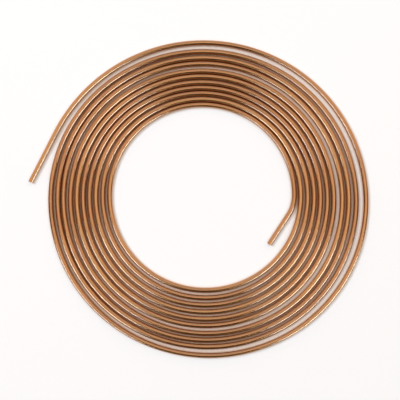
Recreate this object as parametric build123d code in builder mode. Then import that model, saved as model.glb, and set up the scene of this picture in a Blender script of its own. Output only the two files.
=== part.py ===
from build123d import *
from math import cos, pi, radians, sin
import os

# A coil of soft cupronickel tube, 25 ft of the 3/16 in size, wound flat in one layer.
# The tube is one piece: a straight inner end, ten and a third turns that widen anticlockwise,
# and a straight outer end. The coil lies on Z = 0, and Z is the axis of its eye.
# All sizes are in millimetres and degrees.

# Section of the tube, and the small bevel that deburring leaves on both rims of each cut end
TUBE_OD = 4.76
TUBE_WALL = 0.71
RIM_BEVEL = 0.15

# Straight inner end, and the bend that leads from it into the first turn
INNER_END_LENGTH = 33.0
INNER_BEND_RADIUS = 32.0
INNER_BEND_ANGLE = 33.0

# The eye, measured to the middle of the tube, and the arcs that make up the turns around it
EYE_RADIUS = 83.3
ARCS_A_TURN = 6
TURN_ARCS = 62

# Clear space outside each turn, on average round it, from the innermost turn outwards
TURN_GAPS = (1.3, 1.6, 1.1, 1.0, 1.3, 0.8, 2.5, 0.8, 1.4, 3.6)

# The turns are a little oval: bends are flatter on the side at OVAL_DIRECTION and on the one
# across from it, and sharper between the two, by more from turn to turn
OVAL_FIRST_TURN = 2.6
OVAL_PER_TURN = 0.4
OVAL_DIRECTION = 76.0

# The middle of each turn slides, because bends that face +X and +Y are this much wider than the
# mean in the first turn, and this much wider again with each further turn
SLIDE_X_FIRST_TURN = -0.32
SLIDE_X_PER_TURN = 0.03
SLIDE_Y_FIRST_TURN = 0.08
SLIDE_Y_PER_TURN = -0.03

# Bend that lets the tube leave the outermost turn, this much wider than the turns' next arc would
# be, and the straight outer end
OUTER_BEND_EASE = 8.0
OUTER_BEND_ANGLE = 33.0
OUTER_END_LENGTH = 51.0

ARC_SWEEP = 360 / ARCS_A_TURN
BORE = TUBE_OD - 2 * TUBE_WALL


def turn_gap(turn):
    """Clear space outside one turn; turns past the last one listed keep its gap."""
    return TURN_GAPS[min(turn, len(TURN_GAPS) - 1)]


def bend_radius(arc):
    """Radius of one arc of the turns, counted from the innermost."""
    turn = arc / ARCS_A_TURN
    facing = (arc + 0.5) * ARC_SWEEP
    widening = sum(TUBE_OD + turn_gap(step // ARCS_A_TURN) for step in range(arc)) / ARCS_A_TURN
    oval = OVAL_FIRST_TURN + OVAL_PER_TURN * turn
    slide_x = SLIDE_X_FIRST_TURN + SLIDE_X_PER_TURN * turn
    slide_y = SLIDE_Y_FIRST_TURN + SLIDE_Y_PER_TURN * turn
    flatter = oval * cos(radians(2 * (facing - OVAL_DIRECTION)))
    wider = slide_x * cos(radians(facing)) + slide_y * sin(radians(facing))
    return EYE_RADIUS + widening + flatter + wider


# Middle line of the tube, which rests on Z = 0 all the way
with BuildLine(Plane.XY.offset(TUBE_OD / 2)) as route:
    turns_start = (EYE_RADIUS, 0)
    inner_bend = JernArc(
        start=turns_start, tangent=(0, -1), radius=INNER_BEND_RADIUS, arc_size=-INNER_BEND_ANGLE
    )
    inner_end = Line(inner_bend @ 1, inner_bend @ 1 + (inner_bend % 1) * INNER_END_LENGTH)
    run = JernArc(start=turns_start, tangent=(0, 1), radius=bend_radius(0), arc_size=ARC_SWEEP)
    for arc in range(1, TURN_ARCS):
        run = JernArc(start=run @ 1, tangent=run % 1, radius=bend_radius(arc), arc_size=ARC_SWEEP)
    outer_bend = JernArc(
        start=run @ 1,
        tangent=run % 1,
        radius=bend_radius(TURN_ARCS) + OUTER_BEND_EASE,
        arc_size=OUTER_BEND_ANGLE,
    )
    outer_end = Line(outer_bend @ 1, outer_bend @ 1 + (outer_bend % 1) * OUTER_END_LENGTH)

# The tube: its ring section carried along the middle line, cut square at both ends
with BuildPart() as coiled_tube:
    with BuildSketch(Plane(origin=inner_end @ 1, z_dir=-(inner_end % 1))) as section:
        Circle(TUBE_OD / 2)
        Circle(BORE / 2, mode=Mode.SUBTRACT)
    sweep(path=route.wires()[0])
    swept_volume = coiled_tube.part.volume
    chamfer(coiled_tube.faces().filter_by(GeomType.PLANE).edges(), RIM_BEVEL)

coiled_tube.part.label = "coiled_tube"

os.makedirs("parts", exist_ok=True)
export_step(coiled_tube.part, "parts/coiled_tube.step")

tube_length = route.wires()[0].length
section_area = pi * (TUBE_OD**2 - BORE**2) / 4
print(f"tube length {tube_length:.0f} mm")
print(f"swept volume {swept_volume:.1f} mm3, section times length {section_area * tube_length:.1f} mm3")
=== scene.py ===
import logging
import math
from dataclasses import dataclass
from enum import Enum

import bpy
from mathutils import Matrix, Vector


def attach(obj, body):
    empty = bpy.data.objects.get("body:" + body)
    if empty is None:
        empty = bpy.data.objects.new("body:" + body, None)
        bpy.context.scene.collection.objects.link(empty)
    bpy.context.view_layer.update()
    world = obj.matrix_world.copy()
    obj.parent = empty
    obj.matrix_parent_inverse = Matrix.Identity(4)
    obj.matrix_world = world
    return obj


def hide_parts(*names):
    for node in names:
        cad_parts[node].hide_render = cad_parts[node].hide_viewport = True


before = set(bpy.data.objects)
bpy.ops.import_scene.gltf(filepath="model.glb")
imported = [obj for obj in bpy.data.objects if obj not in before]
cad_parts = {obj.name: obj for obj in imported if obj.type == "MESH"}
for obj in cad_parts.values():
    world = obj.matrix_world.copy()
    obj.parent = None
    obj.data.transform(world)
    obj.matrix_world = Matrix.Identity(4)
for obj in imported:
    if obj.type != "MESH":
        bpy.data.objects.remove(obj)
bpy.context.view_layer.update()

log = logging.getLogger("cupronickel coil")

MM = 0.001  # the frame is in metres, and the maker's sizes are in millimetres
WHITE = "#FFFFFF"
# The sockets of a Mix node that mixes colours
SHARE, FIRST, SECOND, MIXED = 0, 6, 7, 2

Colour = tuple[float, float, float, float]
Socket = bpy.types.NodeSocket


class Surface(Enum):
    """The surfaces of the tube, each with the number of its material on the mesh."""

    OUTSIDE = 0
    BORE = 1
    RIM = 2


def linear(colour: str) -> Colour:
    """Turns an sRGB colour into the linear one that a shader takes.

    Args:
        colour: The colour as "#RRGGBB".

    Returns:
        Red, green, blue and an alpha of 1.
    """
    parts = [int(colour[i : i + 2], 16) / 255 for i in (1, 3, 5)]
    red, green, blue = (c / 12.92 if c <= 0.04045 else ((c + 0.055) / 1.055) ** 2.4 for c in parts)
    return red, green, blue, 1.0


def add_node(
    tree: bpy.types.NodeTree,
    kind: str,
    inputs: dict[str | int, object] | None = None,
    **settings: object,
) -> bpy.types.Node:
    """Adds one node to a tree with its settings and links.

    Args:
        tree: The node tree that takes the node.
        kind: Blender's name for the kind of node, without its "ShaderNode".
        inputs: What the input sockets take, by name or place: a value, or the output to link.
        settings: The node's own properties.

    Returns:
        The new node.
    """
    node = tree.nodes.new("ShaderNode" + kind)
    for name, value in settings.items():
        setattr(node, name, value)
    for socket, value in (inputs or {}).items():
        if isinstance(value, Socket):
            tree.links.new(value, node.inputs[socket])
        else:
            node.inputs[socket].default_value = value
    return node


def background_rays(tree: bpy.types.NodeTree) -> Socket:
    """Tells the rays that see the background, in the open or in metal and glass.

    Args:
        tree: The node tree of the floor or the world.

    Returns:
        A value of 1 for those rays and 0 for the others.
    """
    rays = add_node(tree, "LightPath")
    seen = rays.outputs["Is Camera Ray"]
    for ray in ("Is Glossy Ray", "Is Transmission Ray"):
        either = add_node(tree, "Math", {0: seen, 1: rays.outputs[ray]}, operation="MAXIMUM")
        seen = either.outputs[0]
    return seen


def new_material(name: str) -> bpy.types.Material:
    """Makes a material whose node tree is still empty.

    Args:
        name: What the material is called.

    Returns:
        The material.
    """
    material = bpy.data.materials.new(name)
    material.use_nodes = True
    material.node_tree.nodes.clear()
    return material


def add_object(name: str, data: bpy.types.ID) -> bpy.types.Object:
    """Puts a mesh, lamp or camera into the scene.

    Args:
        name: What the object is called.
        data: Its mesh, lamp or camera.

    Returns:
        The object.
    """
    thing = bpy.data.objects.new(name, data)
    bpy.context.scene.collection.objects.link(thing)
    return thing


@dataclass(frozen=True)
class TubeMarks:
    """Marks of one kind that lie along the tube, in millimetres and degrees.

    They are made from noise: none where it is below the start, and most where it is full.
    """

    length: float
    width: float
    detail: float
    start: float = 0.0
    full: float = 1.0
    strength: float = 1.0
    skew: float = 0.0
    # How strongly the finer noise counts that the detail lays over the coarse noise
    fineness: float = 0.6

    def noise(self, tree: bpy.types.NodeTree) -> Socket:
        """Adds the noise, whose grains have the marks' size.

        Args:
            tree: The material's node tree.

        Returns:
            The noise, from 0 to 1.
        """
        place = add_node(tree, "Attribute", attribute_name="place_on_tube")
        turned = add_node(
            tree,
            "VectorRotate",
            {"Vector": place.outputs["Vector"], "Angle": math.radians(self.skew)},
            rotation_type="Z_AXIS",
        )
        across = 1 / self.width
        scaled = add_node(
            tree,
            "Mapping",
            {"Vector": turned.outputs["Vector"], "Scale": (1 / self.length, across, across)},
        )
        noise = add_node(
            tree,
            "TexNoise",
            {
                "Vector": scaled.outputs["Vector"],
                "Scale": 1.0,
                "Detail": self.detail,
                "Roughness": self.fineness,
            },
        )
        return noise.outputs["Fac"]

    def share(self, tree: bpy.types.NodeTree) -> Socket:
        """Adds the share that the marks have in the surface.

        Args:
            tree: The material's node tree.

        Returns:
            The share, from 0 to the marks' strength.
        """
        share = add_node(
            tree,
            "MapRange",
            {
                "Value": self.noise(tree),
                "From Min": self.start,
                "From Max": self.full,
                "To Min": 0.0,
                "To Max": self.strength,
            },
        )
        return share.outputs["Result"]


@dataclass(frozen=True)
class DrawnCupronickel:
    """Soft cupronickel tube, cold drawn through a die and then annealed.

    To the eye it is a warm copper orange with a satin gloss. Fine die lines run along it, the
    furnace leaves long faint patches of browner and paler metal, and handling leaves small scuffs.
    Lengths are in millimetres.
    """

    name: str = "drawn_annealed_cupronickel"
    metal: str = "#C07A35"
    tarnish: str = "#A6662B"
    bloom: str = "#CC8A42"
    roughness: float = 0.26
    oil_film: float = 1.0
    oil_roughness: float = 0.18
    oil_ior: float = 1.7
    # Real die lines lie some 0.05 mm apart. They are drawn 0.5 mm apart, so that they show.
    die_lines: TubeMarks = TubeMarks(90.0, 0.5, detail=3.0, start=0.25, full=0.75)
    die_line_depth: float = 0.003
    # What the roughness gains at the start of the die lines and where they are full
    die_line_dulling: tuple[float, float] = (-0.06, 0.08)
    # The furnace's brown patches, and the slow drift to paler metal and back
    patches: TubeMarks = TubeMarks(34.0, 5.0, detail=4.0, start=0.42, full=0.74, strength=0.8)
    drift: TubeMarks = TubeMarks(408.0, 300.0, detail=1.0, start=0.45, full=0.65, strength=0.6)
    scuffs: TubeMarks = TubeMarks(
        3.2, 0.45, detail=2.0, start=0.68, full=0.78, strength=0.7, skew=35.0
    )
    scuff_dulling: float = 0.12
    # The shallow dints of hand winding, about two hundredths of a millimetre deep
    dints: TubeMarks = TubeMarks(7.0, 3.5, detail=1.0)
    dint_depth: float = 0.018

    def build(self) -> bpy.types.Material:
        """Makes the material.

        Returns:
            The material, which reads the place on the tube from the mesh.
        """
        material = new_material(self.name)
        tree = material.node_tree
        lines = self.die_lines.noise(tree)
        scuffed = self.scuffs.share(tree)
        colour: Colour | Socket = linear(self.metal)
        for share, tone in (
            (self.patches.share(tree), self.tarnish),
            (self.drift.share(tree), self.bloom),
            (scuffed, self.bloom),
        ):
            mixed = add_node(
                tree,
                "Mix",
                {SHARE: share, FIRST: colour, SECOND: linear(tone)},
                data_type="RGBA",
            )
            colour = mixed.outputs[MIXED]
        least, most = self.die_line_dulling
        streaked = add_node(
            tree,
            "MapRange",
            {
                "Value": lines,
                "From Min": self.die_lines.start,
                "From Max": self.die_lines.full,
                "To Min": self.roughness + least,
                "To Max": self.roughness + most,
            },
        )
        rough = add_node(
            tree,
            "Math",
            {0: scuffed, 1: self.scuff_dulling, 2: streaked.outputs["Result"]},
            operation="MULTIPLY_ADD",
        )
        dinted = add_node(
            tree,
            "Bump",
            {"Height": self.dints.noise(tree), "Strength": 1.0, "Distance": self.dint_depth * MM},
        )
        lined = add_node(
            tree,
            "Bump",
            {
                "Height": lines,
                "Strength": 1.0,
                "Distance": self.die_line_depth * MM,
                "Normal": dinted.outputs["Normal"],
            },
        )
        shader = add_node(
            tree,
            "BsdfPrincipled",
            {
                "Base Color": colour,
                "Metallic": 1.0,
                "Roughness": rough.outputs[0],
                "Normal": lined.outputs["Normal"],
                "Coat Weight": self.oil_film,
                "Coat Roughness": self.oil_roughness,
                "Coat IOR": self.oil_ior,
            },
        )
        add_node(tree, "OutputMaterial", {"Surface": shader.outputs["BSDF"]})
        return material


@dataclass(frozen=True)
class CutCupronickel:
    """The end of the tube, parted by a cutter's wheel and deburred.

    To the eye it is a bright, paler ring with fine rings of the cutter in it and a duller edge.
    Lengths are in millimetres.
    """

    name: str = "cutter_parted_cupronickel"
    metal: str = "#CFA07C"
    smear: str = "#A77E62"
    roughness: float = 0.36
    # Real cutter marks lie some 0.03 mm apart. They are drawn 0.12 mm apart, so that they show.
    mark_spacing: float = 0.12
    mark_depth: float = 0.01
    # What the roughness gains from the smoothest mark to the roughest
    mark_dulling: tuple[float, float] = (-0.1, 0.14)
    # The wheel smears the metal into blotches about 0.7 mm wide
    blotches_a_mm: float = 1.4

    def build(self) -> bpy.types.Material:
        """Makes the material.

        Returns:
            The material, which reads the place on the tube from the mesh.
        """
        material = new_material(self.name)
        tree = material.node_tree
        place = add_node(tree, "Attribute", attribute_name="place_on_tube")
        # Only the way across the tube counts for the rings, and not the way along it
        section = add_node(
            tree,
            "VectorMath",
            {0: place.outputs["Vector"], 1: (0.0, 1.0, 1.0)},
            operation="MULTIPLY",
        )
        reach = add_node(tree, "VectorMath", {0: section.outputs["Vector"]}, operation="LENGTH")
        rings = add_node(
            tree,
            "TexNoise",
            {"W": reach.outputs["Value"], "Scale": 1 / self.mark_spacing, "Detail": 2.0},
            noise_dimensions="1D",
        )
        blotches = add_node(
            tree,
            "TexNoise",
            {"Vector": place.outputs["Vector"], "Scale": self.blotches_a_mm, "Detail": 4.0},
        )
        colour = add_node(
            tree,
            "Mix",
            {SHARE: blotches.outputs["Fac"], FIRST: linear(self.metal), SECOND: linear(self.smear)},
            data_type="RGBA",
        )
        least, most = self.mark_dulling
        rough = add_node(
            tree,
            "MapRange",
            {
                "Value": rings.outputs["Fac"],
                "To Min": self.roughness + least,
                "To Max": self.roughness + most,
            },
        )
        marked = add_node(
            tree,
            "Bump",
            {"Height": rings.outputs["Fac"], "Strength": 1.0, "Distance": self.mark_depth * MM},
        )
        shader = add_node(
            tree,
            "BsdfPrincipled",
            {
                "Base Color": colour.outputs[MIXED],
                "Metallic": 1.0,
                "Roughness": rough.outputs["Result"],
                "Normal": marked.outputs["Normal"],
            },
        )
        add_node(tree, "OutputMaterial", {"Surface": shader.outputs["BSDF"]})
        return material


@dataclass(frozen=True)
class Station:
    """A place on the tube's middle line, in millimetres, and the way that the line heads there."""

    x: float
    y: float
    heading: float
    along: float = 0.0


@dataclass(frozen=True)
class Run:
    """One stretch of the middle line: an arc, or a straight where it turns by nothing."""

    length: float
    turn: float = 0.0

    def station(self, start: Station, share: float) -> Station:
        """Finds a place on the stretch.

        Args:
            start: Where the stretch starts.
            share: How far along it the place is, from 0 to 1.

        Returns:
            The place.
        """
        half = self.turn * share / 2
        chord = self.length * share * (math.sin(half) / half if half else 1.0)
        return Station(
            start.x + chord * math.cos(start.heading + half),
            start.y + chord * math.sin(start.heading + half),
            start.heading + 2 * half,
            start.along + self.length * share,
        )


@dataclass(frozen=True)
class Wall:
    """One wall of the tube: its surface, its radius and bevel, and its rows on the bake's map."""

    surface: Surface
    radius: float
    bevel: float
    first_row: int
    rows: int


class RingMesh:
    """Gathers rings of vertices along the tube and the faces that join them."""

    ROW_MARGIN = 0.04  # share of a row of the bake's map that stays clear on each side
    RIM_REACH = 0.45  # share of its square of the bake's map that a rim's radius fills
    SHARP_ANGLE = 30.0  # degrees between two faces from which on their edge is sharp

    def __init__(self, sides: int, axis_height: float, map_rows: int) -> None:
        """Starts an empty mesh.

        Args:
            sides: Vertices in a ring.
            axis_height: Height of the tube's middle line, in millimetres.
            map_rows: Rows on the bake's map.
        """
        self.sides = sides
        self.axis_height = axis_height
        self.map_rows = map_rows
        self.vertices: list[tuple[float, float, float]] = []
        self.places: list[tuple[float, float, float]] = []
        self.faces: list[tuple[int, ...]] = []
        self.kinds: list[int] = []
        self.spots: list[tuple[float, float]] = []

    def add_ring(self, at: Station, reach: float) -> int:
        """Adds one ring.

        Args:
            at: The ring's place on the middle line.
            reach: Its radius in millimetres.

        Returns:
            The number of its first vertex.
        """
        first = len(self.vertices)
        for side in range(self.sides):
            angle = math.tau * side / self.sides
            across, up = reach * math.cos(angle), reach * math.sin(angle)
            x = at.x + across * math.sin(at.heading)
            y = at.y - across * math.cos(at.heading)
            self.vertices.append((x * MM, y * MM, (self.axis_height + up) * MM))
            self.places.append((at.along, across, up))
        return first

    def add_face(
        self, corners: list[tuple[int, float, float]], surface: Surface, turned: bool
    ) -> None:
        """Adds one face.

        Args:
            corners: Each corner's vertex and its place on the bake's map, in rows.
            surface: The surface that the face belongs to.
            turned: Whether the face looks the other way.
        """
        ordered = corners[::-1] if turned else corners
        self.faces.append(tuple(vertex for vertex, _, _ in ordered))
        self.spots += [(u / self.map_rows, v / self.map_rows) for _, u, v in ordered]
        self.kinds.append(surface.value)

    def add_wall(self, wall: Wall, line: list[Station]) -> tuple[int, int]:
        """Adds a wall along a line.

        Args:
            wall: The wall.
            line: The places of its rings.

        Returns:
            The first vertices of its first ring and of its last.
        """
        last = len(line) - 1
        reaches = [wall.radius + (wall.bevel if n in (0, last) else 0.0) for n in range(last + 1)]
        starts = [self.add_ring(at, reach) for at, reach in zip(line, reaches)]
        a_row = math.ceil(last / wall.rows)
        clear = 1 - 2 * self.ROW_MARGIN
        for number, (here, there) in enumerate(zip(starts, starts[1:])):
            row, spot = divmod(number, a_row)
            left, right = (step * self.map_rows / a_row for step in (spot, spot + 1))
            surface = Surface.RIM if number in (0, last - 1) else wall.surface
            for side in range(self.sides):
                on = (side + 1) % self.sides
                start = wall.first_row + row + self.ROW_MARGIN
                low, high = (start + clear * step / self.sides for step in (side, side + 1))
                corners = [
                    (here + side, left, low),
                    (there + side, right, low),
                    (there + on, right, high),
                    (here + on, left, high),
                ]
                self.add_face(corners, surface, wall.surface is Surface.BORE)
        return starts[0], starts[-1]

    def add_rim(self, outer: int, inner: int, column: int) -> None:
        """Adds the cut face at one end of the tube.

        Args:
            outer: First vertex of the outside's ring there.
            inner: First vertex of the bore's ring there.
            column: 0 at the inner end and 1 at the outer end.
        """
        for side in range(self.sides):
            on = (side + 1) % self.sides
            corners = []
            for vertex in (outer + side, outer + on, inner + on, inner + side):
                _, across, up = self.places[vertex]
                u = column + 0.5 + self.RIM_REACH * across / self.axis_height
                v = self.map_rows - 0.5 + self.RIM_REACH * up / self.axis_height
                corners.append((vertex, u, v))
            self.add_face(corners, Surface.RIM, column == 1)

    def finish(self, name: str) -> bpy.types.Mesh:
        """Makes the mesh from what was added.

        Args:
            name: What the mesh is called.

        Returns:
            The mesh, smooth but for its rims.
        """
        mesh = bpy.data.meshes.new(name)
        mesh.from_pydata(self.vertices, [], self.faces)
        mesh.polygons.foreach_set("material_index", self.kinds)
        place = mesh.attributes.new("place_on_tube", "FLOAT_VECTOR", "POINT")
        place.data.foreach_set("vector", [number for spot in self.places for number in spot])
        bake_map = mesh.uv_layers.new(name="OFBake")
        bake_map.data.foreach_set("uv", [number for spot in self.spots for number in spot])
        mesh.shade_smooth()
        mesh.set_sharp_from_angle(angle=math.radians(self.SHARP_ANGLE))
        mesh.update()
        return mesh


@dataclass
class CoiledTube:
    """The whole part: one soft tube, wound flat in one layer, with its bore and two free ends.

    Its middle line repeats the CAD source's, in millimetres and degrees.
    """

    tube_od: float = 4.76
    tube_wall: float = 0.71
    rim_bevel: float = 0.15
    inner_end_length: float = 33.0
    inner_bend_radius: float = 32.0
    inner_bend_angle: float = 33.0
    eye_radius: float = 83.3
    arcs_a_turn: int = 6
    turn_arcs: int = 62
    turn_gaps: tuple[float, ...] = (1.3, 1.6, 1.1, 1.0, 1.3, 0.8, 2.5, 0.8, 1.4, 3.6)
    oval_first_turn: float = 2.6
    oval_per_turn: float = 0.4
    oval_direction: float = 76.0
    slide_x_first_turn: float = -0.32
    slide_x_per_turn: float = 0.03
    slide_y_first_turn: float = 0.08
    slide_y_per_turn: float = -0.03
    outer_bend_ease: float = 8.0
    outer_bend_angle: float = 33.0
    outer_end_length: float = 51.0
    ring_step: float = 4.0
    sides: int = 32
    # The bake's map has this many rows: the outside fills all but two, the bore one, the rims one
    map_rows: int = 24

    def widening(self, arc: int) -> float:
        """Gives how much wider one arc of the turns is than the eye, by the turns inside it.

        Args:
            arc: The arc, counted from the innermost.

        Returns:
            The difference of the radii.
        """
        last = len(self.turn_gaps) - 1
        gaps = (self.turn_gaps[min(step // self.arcs_a_turn, last)] for step in range(arc))
        return sum(self.tube_od + gap for gap in gaps) / self.arcs_a_turn

    def bend_radius(self, arc: int) -> float:
        """Gives the radius of one arc of the turns.

        Args:
            arc: The arc, counted from the innermost.

        Returns:
            The radius of its middle line.
        """
        turn = arc / self.arcs_a_turn
        facing = math.radians((arc + 0.5) * 360 / self.arcs_a_turn)
        oval = self.oval_first_turn + self.oval_per_turn * turn
        slide_x = self.slide_x_first_turn + self.slide_x_per_turn * turn
        slide_y = self.slide_y_first_turn + self.slide_y_per_turn * turn
        flatter = oval * math.cos(2 * (facing - math.radians(self.oval_direction)))
        wider = slide_x * math.cos(facing) + slide_y * math.sin(facing)
        return self.eye_radius + self.widening(arc) + flatter + wider

    def bend(self, radius: float, angle: float) -> Run:
        """Gives the arc of that radius and angle in degrees, which is negative to the right."""
        return Run(radius * math.radians(abs(angle)), math.radians(angle))

    def walk(self, start: Station, runs: list[Run]) -> list[Station]:
        """Walks along stretches of the middle line.

        Args:
            start: Where the walk starts.
            runs: The stretches, in order.

        Returns:
            Places a ring step apart or less, the start and each stretch's end among them.
        """
        stations = [start]
        for run in runs:
            begin, count = stations[-1], math.ceil(run.length / self.ring_step)
            stations += [run.station(begin, step / count) for step in range(1, count + 1)]
        return stations

    def middle_line(self) -> list[Station]:
        """Gives the whole middle line.

        Returns:
            Its places, from the inner tip to the outer tip.
        """
        tip = Run(self.rim_bevel)
        inward = self.walk(
            Station(self.eye_radius, 0.0, -math.pi / 2),
            [
                self.bend(self.inner_bend_radius, -self.inner_bend_angle),
                Run(self.inner_end_length - self.rim_bevel),
                tip,
            ],
        )
        whole = inward[-1].along
        first = [Station(s.x, s.y, s.heading + math.pi, whole - s.along) for s in reversed(inward)]
        sweep = 360 / self.arcs_a_turn
        turns = [self.bend(self.bend_radius(arc), sweep) for arc in range(self.turn_arcs)]
        last_bend = self.bend_radius(self.turn_arcs) + self.outer_bend_ease
        end = [
            self.bend(last_bend, self.outer_bend_angle),
            Run(self.outer_end_length - self.rim_bevel),
            tip,
        ]
        return first + self.walk(first[-1], turns + end)[1:]

    def build_mesh(self) -> bpy.types.Mesh:
        """Makes the tube's mesh, hollow from end to end.

        Returns:
            The mesh, with a material number for each surface and each vertex's place on the tube.
        """
        line = self.middle_line()
        # The bore shows only at its ends, so it has every other ring between them
        bore_line = line[:2] + line[3:-2:2] + line[-2:]
        rings = RingMesh(self.sides, self.tube_od / 2, self.map_rows)
        outside = rings.add_wall(
            Wall(Surface.OUTSIDE, self.tube_od / 2, -self.rim_bevel, 0, self.map_rows - 2), line
        )
        bore_radius = self.tube_od / 2 - self.tube_wall
        bore = rings.add_wall(
            Wall(Surface.BORE, bore_radius, self.rim_bevel, self.map_rows - 2, 1), bore_line
        )
        for column, (outer, inner) in enumerate(zip(outside, bore)):
            rings.add_rim(outer, inner, column)
        return rings.finish("drawn_tube")

    def dress(self, mesh: bpy.types.Mesh) -> None:
        """Gives each surface of the tube its finish, in the order of Surface.

        Args:
            mesh: The tube's mesh.
        """
        # The bore was drawn over a plug and keeps hardly any oil: it is browner and duller
        bore = DrawnCupronickel(
            name="plug_drawn_bore",
            metal="#A06E4A",
            tarnish="#6E4930",
            roughness=0.42,
            oil_film=0.2,
        )
        for finish in (DrawnCupronickel(), bore, CutCupronickel()):
            mesh.materials.append(finish.build())

    def build(self) -> bpy.types.Object:
        """Builds and dresses the tube, which stands for the CAD solid.

        Returns:
            The tube.
        """
        mesh = self.build_mesh()
        self.dress(mesh)
        tube = add_object("drawn_tube", mesh)
        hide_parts("coiled_tube")
        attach(tube, "root")
        return tube


@dataclass(frozen=True)
class MattePaper:
    """Uncoated white backdrop paper: plain white, with a faint mottle from its fibres.

    Where the tube closes in on it, a painted shade darkens it and a painted warm bounce light
    tints it. Lengths are in millimetres.
    """

    name: str = "uncoated_backdrop_paper"
    white: str = "#F8F7F5"
    mottle: str = "#F3F1EE"
    roughness: float = 0.2
    # Fibres a few tenths of a millimetre long clump into flecks of about 2 mm
    fleck: float = 2.0
    # Painted shade and warm bounce light, by how open the paper is to the room, from shut in to
    # open
    painted_shades: tuple[tuple[float, str], ...] = (
        (0.0, "#1E0C03"),
        (0.2, "#905B3A"),
        (0.33, "#BC9472"),
        (0.52, "#F2E4D8"),
        (0.7, WHITE),
    )
    # How far and how finely the painted shade looks for the tube
    shade_reach: float = 12.0
    shade_samples: int = 8
    # What is seen is white under the painted shade by this share, and lit paper under the painted
    # shade by the rest. The share grows to 1 between these two ways from the middle of the coil.
    whiteness: float = 0.4
    far: tuple[float, float] = (300.0, 1000.0)

    def build(self) -> bpy.types.Material:
        """Makes the material.

        Returns:
            The material. The rays that see the background see it brought towards white, the
            shadow of the object stays on it, and a painted shade darkens it near the tube.
        """
        material = new_material(self.name)
        tree = material.node_tree
        place = add_node(tree, "TexCoord")
        fibres = add_node(
            tree,
            "TexNoise",
            {"Vector": place.outputs["Object"], "Scale": 1 / (self.fleck * MM), "Detail": 4.0},
        )
        colour = add_node(
            tree,
            "Mix",
            {SHARE: fibres.outputs["Fac"], FIRST: linear(self.white), SECOND: linear(self.mottle)},
            data_type="RGBA",
        )
        openness = add_node(
            tree,
            "AmbientOcclusion",
            {"Distance": self.shade_reach * MM},
            samples=self.shade_samples,
        )
        # Painted shade: colours picked by how open the paper is, dark and warm between the turns
        shade = add_node(tree, "ValToRGB", {0: openness.outputs["AO"]})
        stops = shade.color_ramp.elements
        for stop, (at, tone) in zip(stops, (self.painted_shades[0], self.painted_shades[-1])):
            stop.position, stop.color = at, linear(tone)
        for at, tone in self.painted_shades[1:-1]:
            stops.new(at).color = linear(tone)
        # The paper's own colour darkened and warmed by the painted shade
        colour_under_painted_shade = add_node(
            tree,
            "Mix",
            {SHARE: 1.0, FIRST: colour.outputs[MIXED], SECOND: shade.outputs["Color"]},
            data_type="RGBA",
            blend_type="MULTIPLY",
        )
        paper = add_node(
            tree, "BsdfDiffuse", {"Color": colour_under_painted_shade.outputs[MIXED], "Roughness": self.roughness}
        )
        # White darkened and warmed by the same painted shade
        white_under_painted_shade = add_node(tree, "Emission", {"Color": shade.outputs["Color"], "Strength": 1.0})
        away = add_node(tree, "VectorMath", {0: place.outputs["Object"]}, operation="LENGTH")
        white_share = add_node(
            tree,
            "MapRange",
            {
                "Value": away.outputs["Value"],
                "From Min": self.far[0] * MM,
                "From Max": self.far[1] * MM,
                "To Min": self.whiteness,
                "To Max": 1.0,
            },
            interpolation_type="SMOOTHSTEP",
        )
        share = add_node(
            tree,
            "Math",
            {0: background_rays(tree), 1: white_share.outputs["Result"]},
            operation="MULTIPLY",
        )
        both = add_node(
            tree, "MixShader", {0: share.outputs[0], 1: paper.outputs[0], 2: white_under_painted_shade.outputs[0]}
        )
        add_node(tree, "OutputMaterial", {"Surface": both.outputs[0]})
        return material


@dataclass(frozen=True)
class BlackCloth:
    """Black studio cloth that soaks up light and shows in the metal as dark bands."""

    name: str = "woven_black_cloth"
    black: str = "#4A4644"
    fold: str = "#3A3735"
    roughness: float = 1.0
    # Soft folds about a quarter of a metre wide
    fold_width: float = 250.0

    def build(self) -> bpy.types.Material:
        """Makes the material.

        Returns:
            The material.
        """
        material = new_material(self.name)
        tree = material.node_tree
        place = add_node(tree, "TexCoord")
        folds = add_node(
            tree,
            "TexNoise",
            {"Vector": place.outputs["Object"], "Scale": 1 / (self.fold_width * MM), "Detail": 2.0},
        )
        colour = add_node(
            tree,
            "Mix",
            {SHARE: folds.outputs["Fac"], FIRST: linear(self.black), SECOND: linear(self.fold)},
            data_type="RGBA",
        )
        cloth = add_node(
            tree, "BsdfDiffuse", {"Color": colour.outputs[MIXED], "Roughness": self.roughness}
        )
        add_node(tree, "OutputMaterial", {"Surface": cloth.outputs[0]})
        return material


@dataclass
class PaperTable:
    """The pale table that the coil lies on, in metres."""

    reach: float = 2.4
    sides: int = 96

    def build(self) -> bpy.types.Object:
        """Builds the table's top as a wide disc.

        Returns:
            The table.
        """
        turns = (math.tau * side / self.sides for side in range(self.sides))
        rim = [(self.reach * math.cos(turn), self.reach * math.sin(turn), 0.0) for turn in turns]
        mesh = bpy.data.meshes.new("paper_table")
        mesh.from_pydata(rim, [], [tuple(range(self.sides))])
        mesh.materials.append(MattePaper().build())
        table = add_object("paper_table", mesh)
        return table


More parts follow.
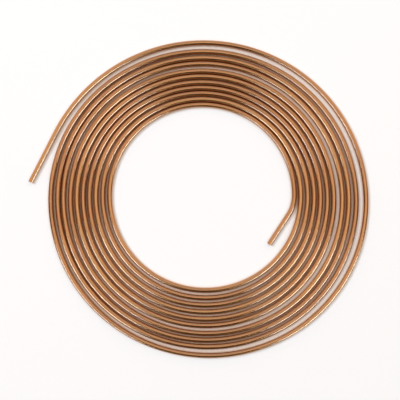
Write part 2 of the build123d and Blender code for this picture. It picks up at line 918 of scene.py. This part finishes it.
@dataclass
class HalfTent:
    """A half tent of black cloth round the front of the coil, which the camera doesn't see.

    It keeps the light off the tube's front side, as in the photograph. Its open edge leans back
    over the coil: it is where y + lean * z = edge on a ball of radius 1. Its reach is in metres,
    and the bearing of its two sides in degrees.
    """

    reach: float = 2.5
    lean: float = 0.51
    edge: float = 0.34
    side_bearing: float = 20.0
    bearings: int = 44
    rises: int = 8

    def rise_of_edge(self, bearing: float) -> float:
        """Gives how high the cloth reaches.

        Args:
            bearing: Direction from the coil, in radians from +X.

        Returns:
            The angle above the table, in radians.
        """
        front = math.sin(bearing)
        tilt = math.atan2(front, self.lean)
        return max(0.0, math.asin(self.edge / math.hypot(front, self.lean)) - tilt)

    def build(self) -> bpy.types.Object:
        """Builds the tent's cloth.

        Returns:
            The tent.
        """
        vertices, faces = [], []
        first, whole = math.radians(self.side_bearing), math.radians(180 + 2 * self.side_bearing)
        for column in range(self.bearings + 1):
            bearing = first - whole * column / self.bearings
            for row in range(self.rises + 1):
                rise = self.rise_of_edge(bearing) * row / self.rises
                flat, height = self.reach * math.cos(rise), self.reach * math.sin(rise)
                vertices.append((flat * math.cos(bearing), flat * math.sin(bearing), height))
        step = self.rises + 1
        for column in range(self.bearings):
            for row in range(self.rises):
                here = column * step + row
                faces.append((here, here + step, here + step + 1, here + 1))
        mesh = bpy.data.meshes.new("half_tent")
        mesh.from_pydata(vertices, [], faces)
        mesh.materials.append(BlackCloth().build())
        tent = add_object("half_tent", mesh)
        tent.visible_camera = False
        return tent


@dataclass(frozen=True)
class Softbox:
    """A soft lamp that faces the coil.

    Angles are in degrees and sizes in metres. A glow of 1 is the white of the background.
    """

    name: str
    bearing: float
    rise: float = 35.0
    distance: float = 1.8
    size: tuple[float, float] = (1.25, 0.36)
    glow: float = 22.5
    tint: str = WHITE

    def build(self, lit: bpy.types.Object | None = None) -> bpy.types.Object:
        """Hangs the lamp.

        Args:
            lit: The one thing that the lamp lights, or None where it lights all.

        Returns:
            The lamp.
        """
        lamp = bpy.data.lights.new(self.name, "AREA")
        lamp.shape = "RECTANGLE"
        lamp.size, lamp.size_y = self.size
        lamp.color = linear(self.tint)[:3]
        lamp.energy = math.pi * self.glow * self.size[0] * self.size[1]
        bearing, rise = math.radians(self.bearing), math.radians(self.rise)
        aim = Vector(
            (math.cos(bearing) * math.cos(rise), math.sin(bearing) * math.cos(rise), math.sin(rise))
        )
        softbox = add_object(self.name, lamp)
        softbox.location = aim * self.distance
        softbox.rotation_euler = aim.to_track_quat("Z", "Y").to_euler()
        softbox.visible_camera = False
        if lit:
            only = bpy.data.collections.new(self.name + "_lights")
            only.objects.link(lit)
            softbox.light_linking.receiver_collection = only
        return softbox


@dataclass(frozen=True)
class WhiteStudio:
    """The even light that comes from all round.

    It is white where it is seen beside the coil, and it falls a little warm. The room above is
    cooler and greyer to the front and back than to the sides, and the metal shows that. A strength
    of 1 is white.
    """

    seen: str = WHITE
    above_sides: str = "#FFF7F0"
    above_back: str = "#CDE0FF"
    falling: str = "#FFECD7"
    # x * x - y * y of a direction, where front and back end and where the sides begin
    sideways: tuple[float, float] = (-0.3, 0.05)
    # z of a direction, where the room beside the coil ends and where the one above it begins
    upwards: tuple[float, float] = (0.35, 0.55)

    def build(self) -> bpy.types.World:
        """Makes the world that gives the light and the background.

        Returns:
            The world.
        """
        world = bpy.data.worlds.new("white_studio")
        world.use_nodes = True
        tree = world.node_tree
        tree.nodes.clear()
        seen = background_rays(tree)
        way = add_node(tree, "TexCoord").outputs["Generated"]
        squares = add_node(tree, "VectorMath", {0: way, 1: way}, operation="MULTIPLY")
        shares = []
        for vector, axis, (start, end) in (
            (squares.outputs["Vector"], (1.0, -1.0, 0.0), self.sideways),
            (way, (0.0, 0.0, 1.0), self.upwards),
        ):
            along = add_node(tree, "VectorMath", {0: vector, 1: axis}, operation="DOT_PRODUCT")
            share = add_node(
                tree,
                "MapRange",
                {"Value": along.outputs["Value"], "From Min": start, "From Max": end},
            )
            shares.append(share.outputs["Result"])
        side_share, above_share = shares
        above = add_node(
            tree,
            "Mix",
            {SHARE: side_share, FIRST: linear(self.above_back), SECOND: linear(self.above_sides)},
            data_type="RGBA",
        )
        room = add_node(
            tree,
            "Mix",
            {SHARE: above_share, FIRST: linear(self.seen), SECOND: above.outputs[MIXED]},
            data_type="RGBA",
        )
        colour = add_node(
            tree,
            "Mix",
            {SHARE: seen, FIRST: linear(self.falling), SECOND: room.outputs[MIXED]},
            data_type="RGBA",
        )
        light = add_node(tree, "Background", {"Color": colour.outputs[MIXED], "Strength": 1.0})
        add_node(tree, "OutputWorld", {"Surface": light.outputs[0]})
        bpy.context.scene.world = world
        return world


@dataclass(frozen=True)
class OverheadCamera:
    """A camera that looks straight down on the coil, in millimetres."""

    lens: float = 85.0
    sensor: float = 36.0
    frame_width: float = 368.0
    centre: tuple[float, float] = (-3.51, -4.16)
    sharp_height: float = 2.38

    def build(self) -> bpy.types.Object:
        """Sets the camera up.

        Returns:
            The camera.
        """
        data = bpy.data.cameras.new("overhead_camera")
        data.lens, data.sensor_width = self.lens, self.sensor
        data.dof.use_dof = False
        camera = add_object("overhead_camera", data)
        height = self.sharp_height + self.frame_width * self.lens / self.sensor
        camera.location = (self.centre[0] * MM, self.centre[1] * MM, height * MM)
        bpy.context.scene.camera = camera
        return camera


def main() -> None:
    """Builds the coil and the studio round it, and reports each piece."""
    logging.basicConfig(level=logging.INFO, format="%(name)s: %(message)s")
    tube = CoiledTube().build()
    log.info("%s has %d faces", tube.name, len(tube.data.polygons))
    table = PaperTable().build()
    for stand in (table, HalfTent().build()):
        log.info("stage %s", stand.name)
    for lamp in (
        # Low lamps that draw the bright lines along the turns and light the tube alone
        Softbox("left_softbox", bearing=221.0, glow=20.5, tint="#A2CAFF").build(tube),
        Softbox("right_softbox", bearing=318.0, tint="#A2CAFF").build(tube),
        # Faint high lamps that fill in the rest
        Softbox(
            "top_softbox", bearing=90.0, rise=84.0, distance=2.2, size=(1.7, 1.5), glow=0.3
        ).build(),
        Softbox("left_fill", bearing=195.0, rise=58.0, size=(0.8, 0.9), glow=0.25).build(),
        Softbox("right_fill", bearing=343.0, rise=62.0, size=(0.9, 1.1), glow=0.28).build(),
        # A lamp that lights the table alone, so that the coil throws its shadow there
        Softbox(
            "table_softbox",
            bearing=155.0,
            rise=56.0,
            distance=4.5,
            size=(1.0, 1.0),
            glow=48.0,
            tint="#E2EDFF",
        ).build(table),
    ):
        log.info("lamp %s", lamp.name)
    log.info("light %s", WhiteStudio().build().name)
    log.info("camera %s", OverheadCamera().build().name)
    bpy.context.scene.view_settings.view_transform = "Standard"


if __name__ == "__main__":
    main()
